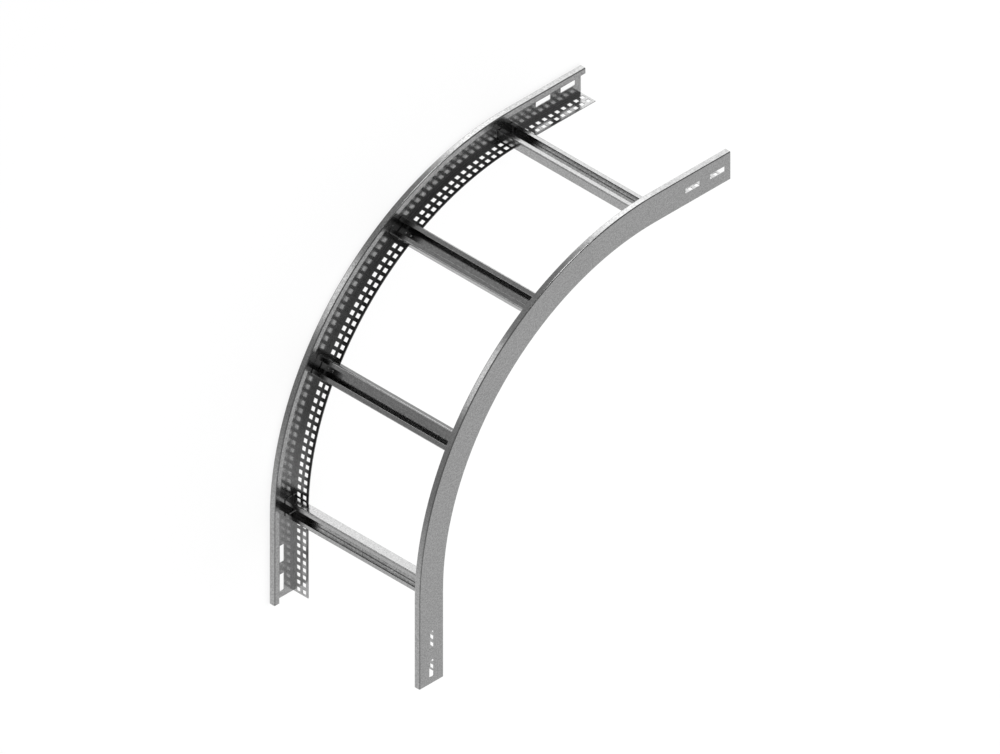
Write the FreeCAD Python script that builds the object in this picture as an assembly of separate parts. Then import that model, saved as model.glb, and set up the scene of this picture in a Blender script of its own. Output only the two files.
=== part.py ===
# Cable ladder vertical bend: two folded side rails curved through a quarter turn, joined by four C rungs.
#
# The bend is drawn lying on its side, as it is stored: X and Y span the plane of the bend and Z runs
# along the rungs. The origin is under the middle of the bounding box, on the face that rests.
# The tail end points towards -Y and the head end towards +X.
# A place on a rail is given by two lengths: rho, the distance from the bend's centre line, and z,
# the height above the outer face of the lower rail's web.

import FreeCAD, Part
import math
import os
from FreeCAD import Vector

# Whole bend
bend_angle = 90.0           # degrees between the two ends
inner_radius = 564.0        # bend centre line to the concave face
end_length = 200.0          # straight run at each end
ladder_width = 400.0        # over the outer faces of the two webs

# Side rail, folded from galvanised strip
rail_height = 64.0          # depth of the web across the bend
rail_sheet = 1.5            # thickness of the strip
rail_fold_radius = 2.0      # outside radius of each fold
perforated_width = 41.0     # concave flange, which carries the rungs
top_width = 14.0            # convex flange
lip_depth = 12.5            # return lip under the convex flange

# Square holes in the perforated flange, left out where a rung lies on it
hole_side = 9.0
end_hole_pitch = 16.85      # along the straight ends
bend_hole_pitch = 16.64     # round the concave face
first_hole = 9.0            # end of the rail to the first hole's centre
first_row = 15.2            # web's outer face to the first row's centres
row_spacing = 15.3

# Slots in the web at each end, for the coupler's bolts
slot_length = 39.0
slot_width = 11.5
slot_first = 34.0           # end of the rail to the centre of the first slot
slot_spacing = 66.0
slot_count = 2

# Rungs, rolled C channel with its mouth on the convex side
rung_count = 4
rung_width = 41.0
rung_depth = 22.5
rung_sheet = 1.8
rung_mouth = 21.0           # opening between the two lips
rung_corner_radius = 2.5    # outside radius of each rolled corner
rung_end_gap = 1.5          # from each end to the web beside it

outer_radius = inner_radius + rail_height
rung_seat = inner_radius + rail_sheet
rung_length = ladder_width - 2 * (rail_sheet + rung_end_gap)

# The bounding box runs from the tail end and the convex face of the tail to the same places at the
# head, so the bend's centre lies this far from its middle.
centre_offset = (outer_radius - end_length) / 2
bend_centre = Vector(centre_offset, -centre_offset, 0)
bend_axis = Vector(0, 0, 1)


def at_angle(shape, degrees):
    """Turns a shape drawn at the start of the bend to its place along the bend."""
    placed = shape.copy()
    placed.rotate(bend_centre, bend_axis, -degrees)
    return placed


def bend_point(rho, along, z):
    """A point at the start of the bend: rho from the centre line, along the rail, z up."""
    return bend_centre + Vector(-rho, along, z)


def rounded_wire(corners, light=False):
    """A closed wire through (point, radius) corners, each rounded by its own radius.

    A light wire has its arcs as splines, whose surfaces round a bend take fewer facets.
    """
    edges = []
    joints = []
    for index, (corner, radius) in enumerate(corners):
        before = (corners[index - 1][0] - corner).normalize()
        after = (corners[(index + 1) % len(corners)][0] - corner).normalize()
        if radius == 0:
            joints.append((corner, corner))
            continue
        half_turn = before.getAngle(after) / 2
        reach = radius / math.tan(half_turn)
        arc_centre = corner + (before + after).normalize() * (radius / math.sin(half_turn))
        start = corner + before * reach
        end = corner + after * reach
        middle = arc_centre + (corner - arc_centre).normalize() * radius
        arc = Part.Arc(start, middle, end)
        edges.append(arc.toBSpline().toShape() if light else arc.toShape())
        joints.append((start, end))
    for index, (start, end) in enumerate(joints):
        edges.append(Part.LineSegment(joints[index - 1][1], start).toShape())
    return Part.Wire(Part.__sortEdges__(edges))


def rail_section():
    """The lower rail's folded strip, cut across at the start of the bend; its folds are sharp inside."""
    fold = rail_fold_radius
    lip_edge = outer_radius - lip_depth
    outline = [
        (inner_radius, perforated_width, 0),
        (inner_radius, 0, fold),
        (outer_radius, 0, fold),
        (outer_radius, top_width, fold),
        (lip_edge, top_width, 0),
        (lip_edge, top_width - rail_sheet, 0),
        (outer_radius - rail_sheet, top_width - rail_sheet, 0),
        (outer_radius - rail_sheet, rail_sheet, 0),
        (inner_radius + rail_sheet, rail_sheet, 0),
        (inner_radius + rail_sheet, perforated_width, 0),
    ]
    corners = [(bend_point(rho, 0, z), radius) for rho, z, radius in outline]
    return Part.Face(rounded_wire(corners, light=True))


def folded_rail():
    """The section carried down the tail, round the bend and along the head."""
    section = rail_section()
    tail = section.extrude(Vector(0, -end_length, 0))
    curve = section.revolve(bend_centre, bend_axis, -bend_angle)
    head = at_angle(section.extrude(Vector(0, end_length, 0)), bend_angle)
    return tail.fuse([curve, head]).removeSplitter()


def on_both_ends(shape, from_end):
    """Copies of a cutter drawn at the start of the bend, at one distance from each end of the rail."""
    before_bend = Vector(0, from_end - end_length, 0)
    return [shape.translated(before_bend), at_angle(shape.translated(-before_bend), bend_angle)]


def rung_angles():
    return [bend_angle * index / (rung_count - 1) for index in range(rung_count)]


def under_a_rung(degrees, beyond_bend):
    """Whether a hole at this angle, or this far beyond the bend, would come under a rung."""
    landing = (rung_width + hole_side) / 2
    offsets = [abs(math.radians(degrees - angle)) * inner_radius + beyond_bend for angle in rung_angles()]
    return min(offsets) < landing


def flange_holes():
    """Cutters for the two aligned rows of square holes, even about the middle of the bend."""
    cutters = []
    pitch_angle = math.degrees(bend_hole_pitch / inner_radius)
    half_count = math.floor((bend_angle - math.degrees(hole_side / inner_radius)) / 2 / pitch_angle)
    end_count = math.floor((end_length - hole_side / 2 - first_hole) / end_hole_pitch) + 1
    for row in (first_row, first_row + row_spacing):
        corner = bend_point(inner_radius + 2 * rail_sheet, -hole_side / 2, row - hole_side / 2)
        square = Part.makeBox(3 * rail_sheet, hole_side, hole_side, corner)
        for index in range(-half_count, half_count + 1):
            degrees = bend_angle / 2 + index * pitch_angle
            if not under_a_rung(degrees, 0):
                cutters.append(at_angle(square, degrees))
        for index in range(end_count):
            from_end = first_hole + index * end_hole_pitch
            if not under_a_rung(0, end_length - from_end):
                cutters += on_both_ends(square, from_end)
    return cutters


def web_slots():
    """Cutters for the square-ended slots on the middle of the web, at both ends."""
    middle = inner_radius + rail_height / 2
    corner = bend_point(middle + slot_width / 2, -slot_length / 2, -rail_sheet)
    slot = Part.makeBox(slot_width, slot_length, 3 * rail_sheet, corner)
    cutters = []
    for index in range(slot_count):
        cutters += on_both_ends(slot, slot_first + index * slot_spacing)
    return cutters


def side_rail():
    return folded_rail().cut(flange_holes() + web_slots())


def facing_up(shape):
    """The mirrored copy of a piece of the lower side, for the upper side."""
    return shape.mirror(Vector(0, 0, ladder_width / 2), bend_axis)


def rung_section():
    """The C of a rung at the start of the bend, its back on the perforated flange."""
    half = rung_width / 2
    half_mouth = rung_mouth / 2
    front = rung_seat + rung_depth
    wall = rung_sheet
    side = [
        (rung_seat, half, rung_corner_radius),
        (front, half, rung_corner_radius),
        (front, half_mouth, 0),
        (front - wall, half_mouth, 0),
        (front - wall, half - wall, 0),
        (rung_seat + wall, half - wall, 0),
    ]
    other_side = [(rho, -along, radius) for rho, along, radius in reversed(side)]
    end = rail_sheet + rung_end_gap
    corners = [(bend_point(rho, along, end), radius) for rho, along, radius in side + other_side]
    return Part.Face(rounded_wire(corners))


def rung():
    return rung_section().extrude(Vector(0, 0, rung_length))


def write_step(name, shape):
    shape.exportStep("parts/" + name + ".step")


os.makedirs("parts", exist_ok=True)
lower_rail = side_rail()
write_step("side_rail_lower", lower_rail)
write_step("side_rail_upper", facing_up(lower_rail))
for number, angle in enumerate(rung_angles(), start=1):
    write_step(f"rung_{number}", at_angle(rung(), angle))
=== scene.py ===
import bpy
import math
from mathutils import Matrix, Vector


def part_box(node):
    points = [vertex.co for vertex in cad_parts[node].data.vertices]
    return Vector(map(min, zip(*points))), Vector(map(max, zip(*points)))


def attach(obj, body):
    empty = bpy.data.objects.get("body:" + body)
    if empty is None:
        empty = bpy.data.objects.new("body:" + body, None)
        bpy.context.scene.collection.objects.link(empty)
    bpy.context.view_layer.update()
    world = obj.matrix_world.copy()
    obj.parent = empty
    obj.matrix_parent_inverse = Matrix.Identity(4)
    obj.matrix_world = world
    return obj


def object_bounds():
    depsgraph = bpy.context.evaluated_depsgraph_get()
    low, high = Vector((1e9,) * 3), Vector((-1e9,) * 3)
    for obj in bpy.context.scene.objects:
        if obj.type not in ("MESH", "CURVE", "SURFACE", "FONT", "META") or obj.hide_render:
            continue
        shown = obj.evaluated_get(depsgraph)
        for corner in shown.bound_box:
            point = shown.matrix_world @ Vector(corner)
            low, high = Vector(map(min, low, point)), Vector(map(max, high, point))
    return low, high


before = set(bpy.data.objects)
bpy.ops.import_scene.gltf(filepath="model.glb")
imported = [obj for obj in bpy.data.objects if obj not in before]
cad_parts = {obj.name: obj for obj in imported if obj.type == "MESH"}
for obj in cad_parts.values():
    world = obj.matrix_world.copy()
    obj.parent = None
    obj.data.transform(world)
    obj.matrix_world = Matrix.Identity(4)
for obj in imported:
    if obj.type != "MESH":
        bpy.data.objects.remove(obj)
cadLow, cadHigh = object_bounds()
print("frame loaded:", len(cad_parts), "nodes")

# Sizes of the bend that the frame doesn't give by itself
ladder = {
    "endLength": 0.200,  # straight run at each end of a rail
    "railSheet": 0.0015,
    "rungSheet": 0.0018,
    "rungs": ["rung_1", "rung_2", "rung_3", "rung_4"],
    "rails": ["side_rail_lower", "side_rail_upper"],
}
bendCentre = Vector((cadHigh.x - ladder["endLength"], cadLow.y + ladder["endLength"], 0))
rungSeat = bendCentre.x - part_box("rung_1")[1].x  # bend centre to the back of a rung


# Camera: an isometric view with parallel lines, seen from over the convex side
camera = {
    "towards": Vector((-1, 1, 1)),
    "pictureUp": Vector((1, 2, -1)),
    "pictureWidth": 1.8835,
    "right": 0.1516,  # near rail's tail corner to the middle of the picture
    "up": 0.5894,
    "distance": 4.0,
    "clipEnd": 12.0,
}


def makeCamera():
    back = camera["towards"].normalized()
    up = camera["pictureUp"].normalized()
    right = up.cross(back)
    tailCorner = Vector((cadLow.x, cadLow.y, cadHigh.z))
    middle = tailCorner + right * camera["right"] + up * camera["up"]
    data = bpy.data.cameras.new("camera")
    data.type = "ORTHO"
    data.ortho_scale = camera["pictureWidth"]
    data.clip_end = camera["clipEnd"]
    seen = bpy.data.objects.new("camera", data)
    bpy.context.scene.collection.objects.link(seen)
    turned = Matrix((right, up, back)).transposed().to_4x4()
    seen.matrix_world = Matrix.Translation(middle + back * camera["distance"]) @ turned
    bpy.context.scene.camera = seen


# Node helpers: a value may be another node's socket, or a number, vector or colour
def addNode(tree, kind, **settings):
    node = tree.nodes.new(kind)
    for name, value in settings.items():
        setattr(node, name, value)
    return node


def feed(tree, socket, value):
    if isinstance(value, bpy.types.NodeSocket):
        tree.links.new(value, socket)
    else:
        socket.default_value = value


def feedAll(tree, sockets, values):
    for socket, value in zip(sockets, values):
        feed(tree, socket, value)


def maths(tree, operation, first, second, third=0.0):
    node = addNode(tree, "ShaderNodeMath", operation=operation)
    feedAll(tree, node.inputs, (first, second, third))
    return node.outputs[0]


def dotProduct(tree, first, second):
    node = addNode(tree, "ShaderNodeVectorMath", operation="DOT_PRODUCT")
    feedAll(tree, node.inputs, (first, second))
    return node.outputs["Value"]


def mapRange(tree, value, fromLow, fromHigh, toLow, toHigh, smooth=False):
    node = addNode(tree, "ShaderNodeMapRange")
    if smooth:
        node.interpolation_type = "SMOOTHSTEP"
    feedAll(tree, node.inputs, (value, fromLow, fromHigh, toLow, toHigh))
    return node.outputs[0]


mixSockets = {"VECTOR": (4, 1), "RGBA": (6, 2)}  # a Mix node's first value and its output


def mix(tree, kind, share, first, second):
    node = addNode(tree, "ShaderNodeMix", data_type=kind)
    valueSocket, mixedSocket = mixSockets[kind]
    feed(tree, node.inputs[0], share)
    feedAll(tree, node.inputs[valueSocket:valueSocket + 2], (first, second))
    return node.outputs[mixedSocket]


def mixShaders(tree, share, first, second):
    node = addNode(tree, "ShaderNodeMixShader")
    feedAll(tree, node.inputs, (share, first, second))
    return node.outputs[0]


def addNoise(tree, place, fineness, **values):
    node = addNode(tree, "ShaderNodeTexNoise")
    feed(tree, node.inputs["Vector"], place)
    feed(tree, node.inputs["Scale"], fineness)
    for name, value in values.items():
        feed(tree, node.inputs[name], value)
    return node.outputs


# A group with the named sockets, and the sockets that its own nodes read and fill
def newGroup(name, inputs, outputs):
    group = bpy.data.node_groups.new(name, "ShaderNodeTree")
    for way, sockets in (("INPUT", inputs), ("OUTPUT", outputs)):
        for socketName, kind in sockets.items():
            group.interface.new_socket(name=socketName, in_out=way, socket_type="NodeSocket" + kind)
    return group, addNode(group, "NodeGroupInput").outputs, addNode(group, "NodeGroupOutput").inputs


def placeGroup(tree, group, **values):
    node = addNode(tree, "ShaderNodeGroup", node_tree=group)
    for name, value in values.items():
        feed(tree, node.inputs[name], value)
    return node.outputs


# Studio: white all round for the camera, and a room of pale and dark sides that the metal reflects.
# Soft boxes and flags have their edges in degrees from their middle, and lighten or darken the room.
studio = {
    "plainLevel": 1.0,
    "paleSide": 0.58,  # towards -Y
    "darkSide": 0.15,
    "darkFrom": -0.05,  # how far the direction leans towards +Y, here and in paleFrom
    "paleFrom": -0.55,
    "softBoxes": [
        {"towards": (0.385, 0.723, -0.574), "inner": 9, "outer": 13, "strength": 0.55},  # bend near the head
        {"towards": (0.62, 0.50, -0.60), "inner": 12, "outer": 42, "strength": 0.98},  # head
        {"towards": (-0.60, 0.55, -0.58), "inner": 3, "outer": 14, "strength": 0.90},  # middle of the bend
        {"towards": (-0.03, 0.99, 0.0), "inner": 4, "outer": 14, "strength": 4.5},  # bright line on folds
        {"towards": (0.0, 0.1, -1.0), "inner": 20, "outer": 90, "strength": 0.16},  # from below
        {"towards": (0.0, 0.0, 1.0), "inner": 10, "outer": 20, "strength": 0.24},  # from above
        {"towards": (1.0, 0.0, 0.3), "inner": 12, "outer": 40, "strength": 0.34},  # from beyond the head
    ],
    "flags": [
        {"towards": (0.0, 0.4, 0.92), "inner": 26, "outer": 46, "strength": -0.10},  # dark line on folds
        {"towards": (-0.6, -0.6, 0.6), "inner": 10, "outer": 45, "strength": -0.05},  # tail's inner faces
        {"towards": (0.0, -0.6, 0.8), "inner": 13, "outer": 31, "strength": -0.45},  # tail's fold
    ],
    "keptBounces": 2.2,  # the room dims for what the metal shows after more reflections than this
    "fadeBounces": 0.7,
    "dimmed": 0.4,
}


def makeSoftBoxGlow():
    inputs = {"Ray": "Vector", "Towards": "Vector", "Outer": "Float", "Inner": "Float", "Strength": "Float"}
    group, given, result = newGroup("softBoxGlow", inputs, {"Glow": "Float"})
    facing = dotProduct(group, given["Ray"], given["Towards"])
    glow = mapRange(group, facing, given["Outer"], given["Inner"], 0.0, given["Strength"], smooth=True)
    feed(group, result["Glow"], glow)
    return group


def makeWorld():
    world = bpy.data.worlds.new("studio")
    world.use_nodes = True
    tree = world.node_tree
    tree.nodes.clear()
    ray = addNode(tree, "ShaderNodeTexCoord").outputs["Generated"]
    split = addNode(tree, "ShaderNodeSeparateXYZ")
    feed(tree, split.inputs[0], ray)
    level = mapRange(tree, split.outputs["Y"], studio["darkFrom"], studio["paleFrom"],
                     studio["darkSide"], studio["paleSide"])
    glowGroup = makeSoftBoxGlow()
    for box in studio["softBoxes"] + studio["flags"]:
        glow = placeGroup(
            tree, glowGroup, Ray=ray, Towards=Vector(box["towards"]).normalized(), Strength=box["strength"],
            Inner=math.cos(math.radians(box["inner"])), Outer=math.cos(math.radians(box["outer"])),
        )
        level = maths(tree, "ADD", level, glow["Glow"])
    path = addNode(tree, "ShaderNodeLightPath").outputs
    lastBounce = studio["keptBounces"] + studio["fadeBounces"]
    kept = mapRange(tree, path["Glossy Depth"], studio["keptBounces"], lastBounce, 1.0, studio["dimmed"])
    plain = addNode(tree, "ShaderNodeBackground")
    plain.inputs["Color"].default_value = (1, 1, 1, 1)
    plain.inputs["Strength"].default_value = studio["plainLevel"]
    room = addNode(tree, "ShaderNodeBackground")
    feed(tree, room.inputs["Color"], level)
    feed(tree, room.inputs["Strength"], kept)
    output = addNode(tree, "ShaderNodeOutputWorld")
    feed(tree, output.inputs[0], mixShaders(tree, path["Is Glossy Ray"], plain.outputs[0], room.outputs[0]))
    bpy.context.scene.world = world


floor = {
    "size": 30.0,
    "drop": 0.0003,  # under the rail that the bend lies on
    "colour": (0.90, 0.90, 0.90, 1),
    "whiteShare": 0.82,  # of what the camera sees; the rest is lit, and keeps the shadow
}


def makeFloor():
    bpy.ops.object.select_all(action="DESELECT")
    bpy.ops.mesh.primitive_plane_add(size=floor["size"], location=(0, 0, -floor["drop"]))
    plane = bpy.context.object
    plane.name = "studioFloor"
    plane.visible_glossy = False  # the metal shows the room instead
    material = bpy.data.materials.new("paleFloor")
    material.use_nodes = True
    tree = material.node_tree
    tree.nodes.clear()
    lit = addNode(tree, "ShaderNodeBsdfDiffuse")
    lit.inputs["Color"].default_value = floor["colour"]
    white = addNode(tree, "ShaderNodeEmission")
    path = addNode(tree, "ShaderNodeLightPath").outputs
    seen = maths(tree, "MAXIMUM", path["Is Camera Ray"], path["Is Transmission Ray"])
    share = maths(tree, "MULTIPLY", seen, floor["whiteShare"])
    output = addNode(tree, "ShaderNodeOutputMaterial")
    feed(tree, output.inputs[0], mixShaders(tree, share, lit.outputs[0], white.outputs[0]))
    plane.data.materials.append(material)


keyLamp = {"size": 2.4, "power": 26, "place": Vector((0.9, -0.5, 2.4))}


def makeKeyLamp():
    data = bpy.data.lights.new("keyLamp", "AREA")
    data.size = keyLamp["size"]
    data.energy = keyLamp["power"]
    lamp = bpy.data.objects.new("keyLamp", data)
    bpy.context.scene.collection.objects.link(lamp)
    lamp.location = keyLamp["place"]
    lamp.rotation_euler = (-keyLamp["place"]).to_track_quat("-Z", "Y").to_euler()
    lamp.visible_glossy = False  # its square would show on the metal


# Galvanised finishes

# Fine grain of the zinc: a value round the middle that changes every few millimetres
zincGrain = {"detail": 2.5, "roughness": 0.6, "middle": 0.5}


def makeGrainGroup():
    inputs = {"Place": "Vector", "Fineness": "Float", "Contrast": "Float"}
    group, given, result = newGroup("zincGrain", inputs, {"Grain": "Float"})
    noise = addNoise(group, given["Place"], given["Fineness"],
                     Detail=zincGrain["detail"], Roughness=zincGrain["roughness"])
    offset = maths(group, "SUBTRACT", noise["Fac"], zincGrain["middle"])
    grain = maths(group, "MULTIPLY_ADD", offset, given["Contrast"], zincGrain["middle"])
    feed(group, result["Grain"], grain)
    return group


# Zinc crystals: each cell has a shade of its own and a faint line where it meets the next
zincSpangle = {"wanderDetail": 1.0, "wander": 0.003, "seamWidth": 0.12}


def makeSpangleGroup():
    inputs = {"Place": "Vector", "Fineness": "Float"}
    group, given, result = newGroup("zincSpangle", inputs, {"Shade": "Float", "Seam": "Float"})
    wander = addNoise(group, given["Place"], given["Fineness"], Detail=zincSpangle["wanderDetail"])
    shift = addNode(group, "ShaderNodeVectorMath", operation="MULTIPLY_ADD")
    feedAll(group, shift.inputs, (wander["Color"], (zincSpangle["wander"],) * 3, given["Place"]))
    cells = addNode(group, "ShaderNodeTexVoronoi")
    seams = addNode(group, "ShaderNodeTexVoronoi", feature="DISTANCE_TO_EDGE")
    for pattern in (cells, seams):
        feed(group, pattern.inputs["Vector"], shift.outputs[0])
        feed(group, pattern.inputs["Scale"], given["Fineness"])
    shade = addNode(group, "ShaderNodeSeparateColor")
    feed(group, shade.inputs[0], cells.outputs["Color"])
    feed(group, result["Shade"], shade.outputs[0])
    seam = mapRange(group, seams.outputs["Distance"], 0.0, zincSpangle["seamWidth"], 1.0, 0.0)
    feed(group, result["Seam"], seam)
    return group


# Broad dull patches, a hand's width across, where the zinc has weathered unevenly
dullPatches = {"detail": 4.0, "from": 0.4, "full": 0.7}


def makePatchGroup():
    inputs = {"Place": "Vector", "Fineness": "Float"}
    group, given, result = newGroup("dullPatches", inputs, {"Dull": "Float"})
    noise = addNoise(group, given["Place"], given["Fineness"], Detail=dullPatches["detail"])
    dull = mapRange(group, noise["Fac"], dullPatches["from"], dullPatches["full"], 0.0, 1.0, smooth=True)
    feed(group, result["Dull"], dull)
    return group


# Where the sheet's edges are rubbed, and a normal that is rounded there and nowhere else
rubbedEdge = {
    "samples": 6,
    "from": 0.995,  # cosine between the rounded normal and the flat one
    "full": 0.93,
    "breakFineness": 120.0,
    "breakFrom": 0.35,
    "breakFull": 0.65,
    "leastRubbed": 0.4,
}


def makeEdgeGroup():
    inputs = {"Place": "Vector", "Width": "Float"}
    group, given, result = newGroup("rubbedEdges", inputs, {"Rubbed": "Float", "Soft Normal": "Vector"})
    soft = addNode(group, "ShaderNodeBevel", samples=rubbedEdge["samples"])
    feed(group, soft.inputs["Radius"], given["Width"])
    flat = addNode(group, "ShaderNodeNewGeometry").outputs["Normal"]
    turned = dotProduct(group, soft.outputs[0], flat)
    edge = mapRange(group, turned, rubbedEdge["from"], rubbedEdge["full"], 0.0, 1.0)
    noise = addNoise(group, given["Place"], rubbedEdge["breakFineness"])
    broken = mapRange(group, noise["Fac"], rubbedEdge["breakFrom"], rubbedEdge["breakFull"],
                      rubbedEdge["leastRubbed"], 1.0)
    feed(group, result["Rubbed"], maths(group, "MULTIPLY", edge, broken))
    feed(group, result["Soft Normal"], mix(group, "VECTOR", edge, flat, soft.outputs[0]))
    return group


# Painted shade: the colour darkens in the inner corners, where little of the room is seen
crevice = {
    "samples": 8,
    "from": 0.80,  # share of the room that is still seen
    "full": 0.55,
    "breakFineness": 260.0,
    "breakFrom": 0.3,
    "breakFull": 0.7,
    "leastPaintedShade": 0.75,
}


def makeCreviceGroup():
    inputs = {"Place": "Vector", "Reach": "Float"}
    group, given, result = newGroup("crevicePaintedShade", inputs, {"PaintedShade": "Float"})
    room = addNode(group, "ShaderNodeAmbientOcclusion", samples=crevice["samples"])
    feed(group, room.inputs["Distance"], given["Reach"])
    shut = mapRange(group, room.outputs["AO"], crevice["from"], crevice["full"], 0.0, 1.0, smooth=True)
    noise = addNoise(group, given["Place"], crevice["breakFineness"])
    broken = mapRange(group, noise["Fac"], crevice["breakFrom"], crevice["breakFull"],
                      crevice["leastPaintedShade"], 1.0)
    # The painted shade mask, broken up a little by noise
    feed(group, result["PaintedShade"], maths(group, "MULTIPLY", shut, broken))
    return group


surfaceGroups = {
    "crevices": makeCreviceGroup(),
    "grain": makeGrainGroup(),
    "spangle": makeSpangleGroup(),
    "patches": makePatchGroup(),
    "edges": makeEdgeGroup(),
}

# In each finish the near-black colour, with its reach and share, is painted shade in the inner corners
railZinc = {
    "dark": (0.46, 0.46, 0.46, 1),
    "light": (0.64, 0.64, 0.64, 1),
    "rubbed": (0.66, 0.66, 0.66, 1),
    "paintedShade": (0.10, 0.10, 0.10, 1),
    "paintedShadeReach": 0.0012,
    "paintedShadeShare": 0.35,
    "grainFineness": 310.0,
    "grainContrast": 3.6,
    "spangleFineness": 190.0,
    "patchFineness": 9.0,
    "roughness": 0.18,
    "roughnessSpread": 0.05,
    "bump": 0.014,
    "edgeWidth": 0.0005,
}
rungZinc = {
    "dark": (0.46, 0.46, 0.46, 1),
    "light": (0.64, 0.64, 0.64, 1),
    "rubbed": (0.66, 0.66, 0.66, 1),
    "paintedShade": (0.10, 0.10, 0.10, 1),
    "paintedShadeReach": 0.0048,
    "paintedShadeShare": 0.55,
    "grainFineness": 310.0,
    "grainContrast": 3.6,
    "spangleFineness": 180.0,
    "patchFineness": 9.0,
    "roughness": 0.16,
    "roughnessSpread": 0.05,
    "bump": 0.006,
    "edgeWidth": 0.0006,
}
rivetZinc = {
    "dark": (0.70, 0.70, 0.70, 1),
    "light": (0.82, 0.82, 0.82, 1),
    "rubbed": (0.86, 0.86, 0.86, 1),
    "paintedShade": (0.12, 0.12, 0.12, 1),
    "paintedShadeReach": 0.0008,
    "paintedShadeShare": 0.8,
    "grainFineness": 900.0,
    "grainContrast": 1.0,
    "spangleFineness": 600.0,
    "patchFineness": 9.0,
    "roughness": 0.24,
    "roughnessSpread": 0.10,
    "bump": 0.08,
    "edgeWidth": 0.0002,
}

# What each effect does on every galvanised piece
zincEffects = {
    "spangleShade": 0.30,
    "seamShade": -0.08,
    "dullShade": -0.06,
    "rubbedShare": 0.5,
    "dullRoughness": 0.03,
    "paintedShadeRoughness": 0.15,
    "spangleHeight": 0.25,
    "bumpDistance": 0.0006,
}


# The zinc's shade: 0 is the finish's dark colour and 1 its light one
def zincShade(tree, grain, spangle, dull):
    spread = zincEffects["spangleShade"]
    shade = maths(tree, "MULTIPLY_ADD", spangle["Shade"], spread, -spread / 2)
    shade = maths(tree, "ADD", shade, grain)
    shade = maths(tree, "MULTIPLY_ADD", spangle["Seam"], zincEffects["seamShade"], shade)
    return maths(tree, "MULTIPLY_ADD", dull, zincEffects["dullShade"], shade)


def galvanised(name, finish):
    material = bpy.data.materials.new(name)
    material.use_nodes = True
    tree = material.node_tree
    shader = tree.nodes["Principled BSDF"]
    place = addNode(tree, "ShaderNodeTexCoord").outputs["Object"]
    grain = placeGroup(tree, surfaceGroups["grain"], Place=place, Fineness=finish["grainFineness"],
                       Contrast=finish["grainContrast"])["Grain"]
    spangle = placeGroup(tree, surfaceGroups["spangle"], Place=place, Fineness=finish["spangleFineness"])
    dull = placeGroup(tree, surfaceGroups["patches"], Place=place, Fineness=finish["patchFineness"])["Dull"]
    edges = placeGroup(tree, surfaceGroups["edges"], Place=place, Width=finish["edgeWidth"])
    paintedShade = placeGroup(tree, surfaceGroups["crevices"], Place=place, Reach=finish["paintedShadeReach"])["PaintedShade"]
    shade = zincShade(tree, grain, spangle, dull)

    colour = mix(tree, "RGBA", shade, finish["dark"], finish["light"])
    rubbedShare = maths(tree, "MULTIPLY", edges["Rubbed"], zincEffects["rubbedShare"])
    colour = mix(tree, "RGBA", rubbedShare, colour, finish["rubbed"])
    # Painted shade: the base colour darkens towards near-black in the inner corners, which are also made
    # rougher
    paintedShadeShare = maths(tree, "MULTIPLY", paintedShade, finish["paintedShadeShare"])
    feed(tree, shader.inputs["Base Color"], mix(tree, "RGBA", paintedShadeShare, colour, finish["paintedShade"]))

    spread = finish["roughnessSpread"]
    rough = maths(tree, "MULTIPLY_ADD", shade, -spread, finish["roughness"] + spread / 2)
    rough = maths(tree, "MULTIPLY_ADD", dull, zincEffects["dullRoughness"], rough)
    rough = maths(tree, "MULTIPLY_ADD", paintedShade, zincEffects["paintedShadeRoughness"], rough)
    feed(tree, shader.inputs["Roughness"], rough)

    bump = addNode(tree, "ShaderNodeBump")
    bump.inputs["Strength"].default_value = finish["bump"]
    bump.inputs["Distance"].default_value = zincEffects["bumpDistance"]
    height = maths(tree, "MULTIPLY_ADD", spangle["Shade"], zincEffects["spangleHeight"], grain)
    feed(tree, bump.inputs["Height"], height)
    feed(tree, bump.inputs["Normal"], edges["Soft Normal"])
    feed(tree, shader.inputs["Normal"], bump.outputs[0])
    shader.inputs["Metallic"].default_value = 1.0
    return material


def finishNodes(names, material):
    for name in names:
        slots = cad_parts[name].material_slots
        for slot in slots:
            slot.material = material
        if not slots:
            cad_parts[name].data.materials.append(material)


# Rivets: two at each end of a rung, through the rung's back and the perforated flange
rivet = {
    "headRadius": 0.0028,
    "headRim": 0.0003,
    "headHeight": 0.0011,
    "tailRadius": 0.0025,
    "tailRim": 0.0004,
    "tailHeight": 0.0009,
    "shankRadius": 0.0016,
    "sides": 32,
    "domeSteps": 4,
    "domeTop": 0.6,  # part of a step that the flat top of a dome takes up
    "mergeWithin": 0.000001,
    "smoothUnder": 50,  # degrees between two faces
    "fromWeb": {"outer": 0.0188, "inner": 0.0320},  # web's outer face to the rivet's middle
}


def selectFaces(mesh, wanted):
    bpy.ops.mesh.select_all(action="DESELECT")
    bpy.ops.object.mode_set(mode="OBJECT")
    for face in mesh.polygons:
        face.select = wanted(face)
    bpy.ops.object.mode_set(mode="EDIT")


# Carries the selected face along the rivet by one step, and scales it about the rivet's line
def stepFace(rise, share=1.0):
    bpy.ops.mesh.extrude_region_move(TRANSFORM_OT_translate={"value": (0, 0, rise)})
    if share != 1.0:
        bpy.ops.transform.resize(value=(share, share, 1), center_override=(0, 0, 0))


# A straight rim and then a dome, up or down by the sign of way, closed at its top
def domeFace(radius, rim, height, way):
    stepFace(way * rim)
    last, reached = radius, 0.0
    for step in range(1, rivet["domeSteps"] + 1):
        turn = math.pi / 2 * step / (rivet["domeSteps"] + rivet["domeTop"])
        ring, level = radius * math.cos(turn), (height - rim) * math.sin(turn)
        stepFace(way * (level - reached), ring / last)
        last, reached = ring, level
    bpy.ops.mesh.poke(offset=0)


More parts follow.
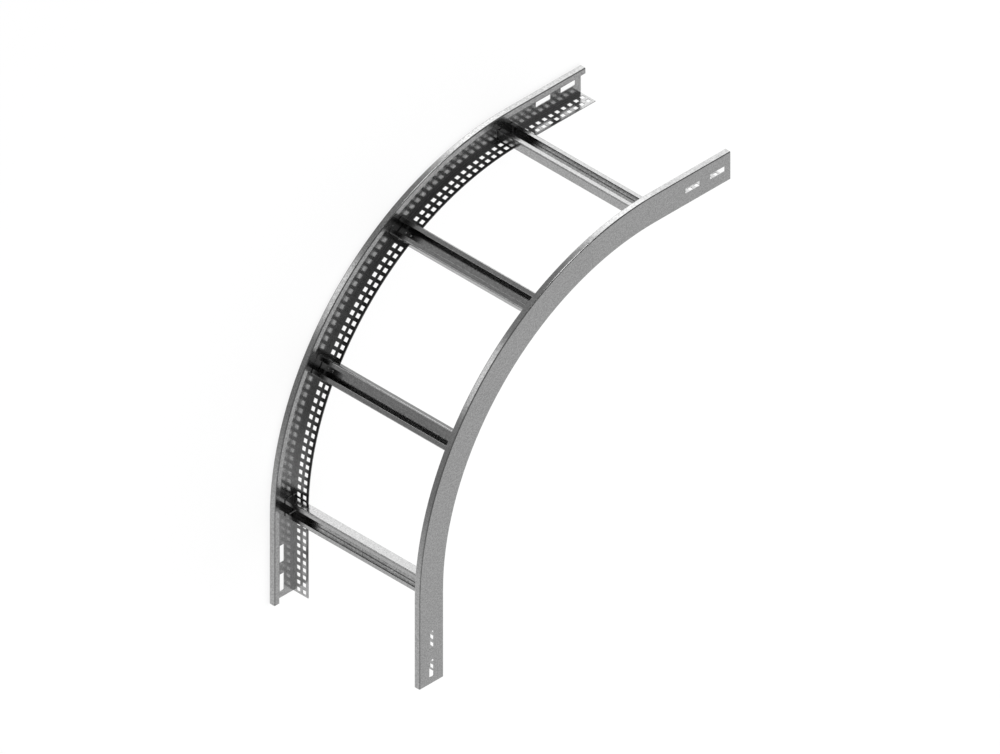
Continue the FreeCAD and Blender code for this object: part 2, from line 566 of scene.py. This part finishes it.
# One rivet along Z, its head's seat at zero and its tail below the two sheets
def modelRivet():
    grip = ladder["railSheet"] + ladder["rungSheet"]
    bpy.ops.object.select_all(action="DESELECT")
    bpy.ops.mesh.primitive_circle_add(vertices=rivet["sides"], radius=rivet["headRadius"], fill_type="NGON")
    piece = bpy.context.object
    bpy.ops.object.mode_set(mode="EDIT")
    bpy.ops.mesh.select_all(action="SELECT")
    domeFace(rivet["headRadius"], rivet["headRim"], rivet["headHeight"], 1)
    selectFaces(piece.data, lambda face: len(face.vertices) == rivet["sides"])  # the head's seat
    stepFace(0, rivet["shankRadius"] / rivet["headRadius"])
    stepFace(-grip)
    stepFace(0, rivet["tailRadius"] / rivet["shankRadius"])
    domeFace(rivet["tailRadius"], rivet["tailRim"], rivet["tailHeight"], -1)
    bpy.ops.mesh.select_all(action="SELECT")
    bpy.ops.mesh.remove_doubles(threshold=rivet["mergeWithin"])
    bpy.ops.mesh.normals_make_consistent(inside=False)
    bpy.ops.object.mode_set(mode="OBJECT")
    return piece


# A copy of the rivet with its head's seat at foot and its head outward, its place in its mesh
def placeRivet(pattern, name, foot, outward, material):
    piece = pattern.copy()
    piece.data = pattern.data.copy()
    piece.name = name
    bpy.context.scene.collection.objects.link(piece)
    piece.matrix_world = Matrix.Translation(foot) @ outward.to_track_quat("Z", "Y").to_matrix().to_4x4()
    bpy.ops.object.select_all(action="DESELECT")
    piece.select_set(True)
    bpy.context.view_layer.objects.active = piece
    bpy.ops.object.transform_apply(location=True, rotation=True, scale=True)
    bpy.ops.object.shade_smooth_by_angle(angle=math.radians(rivet["smoothUnder"]))
    piece.data.materials.append(material)
    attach(piece, "root")


def makeRivets(material):
    pattern = modelRivet()
    for rungName in ladder["rungs"]:
        low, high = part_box(rungName)
        outward = (low + high) / 2 - bendCentre
        outward.z = 0
        outward.normalize()
        seat = bendCentre + outward * (rungSeat + ladder["rungSheet"])
        for place, inset in rivet["fromWeb"].items():
            for side, height in (("lower", cadLow.z + inset), ("upper", cadHigh.z - inset)):
                name = rungName.replace("rung", "rivet") + "_" + side + "_" + place
                placeRivet(pattern, name, Vector((seat.x, seat.y, height)), outward, material)
    bpy.data.objects.remove(pattern)


bpy.context.scene.view_settings.view_transform = "Standard"
makeCamera()
makeWorld()
makeFloor()
makeKeyLamp()
print("studio made")

finishNodes(ladder["rails"], galvanised("railZinc", railZinc))
finishNodes(ladder["rungs"], galvanised("rungZinc", rungZinc))
print("rails and rungs finished")

makeRivets(galvanised("rivetZinc", rivetZinc))
print("rivets made")
